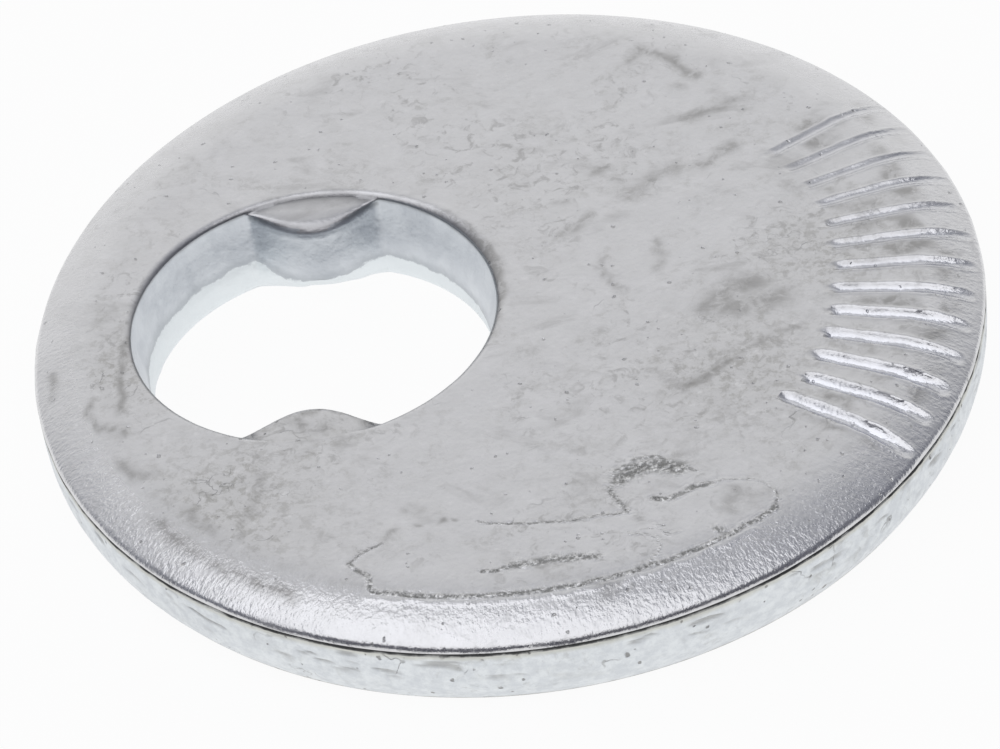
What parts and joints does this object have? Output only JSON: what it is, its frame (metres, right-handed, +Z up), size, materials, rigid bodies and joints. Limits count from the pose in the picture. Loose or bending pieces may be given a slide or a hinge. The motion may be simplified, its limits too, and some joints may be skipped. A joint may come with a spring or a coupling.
{
  "type": "eccentric cam washer",
  "caption": "Round steel cam washer with an off-centre keyed bolt hole, a rolled top edge and pressed scale lines, for setting and holding a suspension control arm.",
  "frame": {"origin": "centre of the cam rim's circle, on the flat underside", "axes": "+Z up out of the face with the scale lines, +X out along the middle scale line, the bolt hole within 3 degrees of -X and the two key tabs within 5 degrees of Y"},
  "size_m": [0.04, 0.04, 0.0042],
  "materials": {
    "zinc_plated_steel": "worn bright zinc plating on stamped steel, satin"
  },
  "bodies": {
    "root": {"cam_washer": "zinc_plated_steel"}
  },
  "joints": []
}
